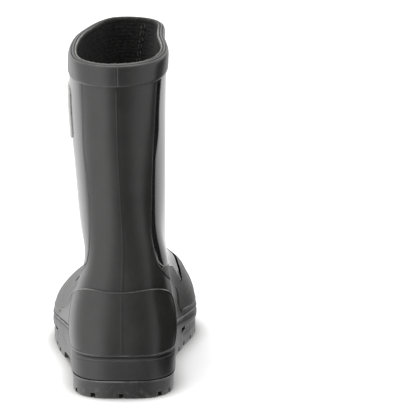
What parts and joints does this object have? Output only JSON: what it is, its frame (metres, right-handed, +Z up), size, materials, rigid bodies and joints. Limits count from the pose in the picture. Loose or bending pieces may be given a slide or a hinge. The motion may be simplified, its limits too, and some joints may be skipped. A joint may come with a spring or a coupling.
{
  "type": "rubber rain boot",
  "caption": "Child's calf-high rubber rain boot for the left foot: layered rubber upper with collar, textile-lined shaft, heel counter, treaded sole and loose footbed.",
  "frame": {"origin": "middle of the boot's footprint box on the ground, at the tread's contact plane", "axes": "+Z up the shaft, -Y towards the toe, +X towards the outer (lateral) side of the left foot"},
  "size_m": [0.0926, 0.2046, 0.2158],
  "materials": {
    "satin_rubber": "satin, fine-grained black rubber",
    "gloss_rubber": "glossy black rubber",
    "matte_rubber": "matte, finely textured black rubber",
    "badge_rubber": "smooth light grey rubber",
    "sole_rubber": "matte black moulded rubber",
    "core_rubber": "unfinished dark rubber, hidden",
    "knit_lining": "black knitted textile",
    "seam_thread": "dark grey overlock thread",
    "fibre_board": "pressed fibre board, hidden",
    "foam": "dark cellular foam",
    "footbed_textile": "black brushed textile"
  },
  "bodies": {
    "boot": {"upper_shell": "satin_rubber", "heel_stiffener": "core_rubber", "toe_stiffener": "core_rubber", "lining": "knit_lining", "lining_seam": "seam_thread", "back_panel": "satin_rubber", "heel_counter": "satin_rubber", "gloss_panel": "gloss_rubber", "vamp_panel": "matte_rubber", "collar_band": "satin_rubber", "badge": "badge_rubber", "foxing": "sole_rubber", "outsole": "sole_rubber", "midsole_filler": "core_rubber", "insole_board": "fibre_board"},
    "footbed": {"footbed_foam": "foam", "footbed_cover": "footbed_textile"}
  },
  "joints": [
    {"name": "footbed_lift", "type": "hinge", "parent": "boot", "child": "footbed", "pos_m": [0, -0.0856, 0.018], "axis": [1, 0, 0], "range_deg": [0, 7]}
  ]
}
